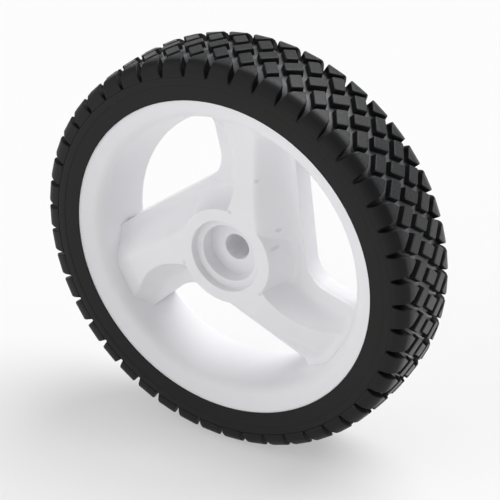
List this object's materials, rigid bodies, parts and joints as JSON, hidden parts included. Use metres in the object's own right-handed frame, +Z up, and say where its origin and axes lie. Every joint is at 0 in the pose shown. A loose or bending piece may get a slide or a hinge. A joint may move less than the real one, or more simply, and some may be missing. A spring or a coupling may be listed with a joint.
{
  "type": "wheel",
  "caption": "Small garden machine wheel with a knobby rubber tyre on a moulded plastic rim with swirled hollow spokes and a stepped hub bore.",
  "frame": {"origin": "on the bore axis, half way across the tyre", "axes": "+Y along the bore from the front face, with the stepped hub recess, to the back; +Z up as the wheel stands on its tread; +X to the right seen from the front"},
  "size_m": [0.2034, 0.045, 0.2033],
  "materials": {
    "rim_plastic": "white moulded, satin",
    "tyre_rubber": "black moulded rubber, matt"
  },
  "bodies": {
    "root": {"rim": "rim_plastic", "tyre": "tyre_rubber"}
  },
  "joints": []
}
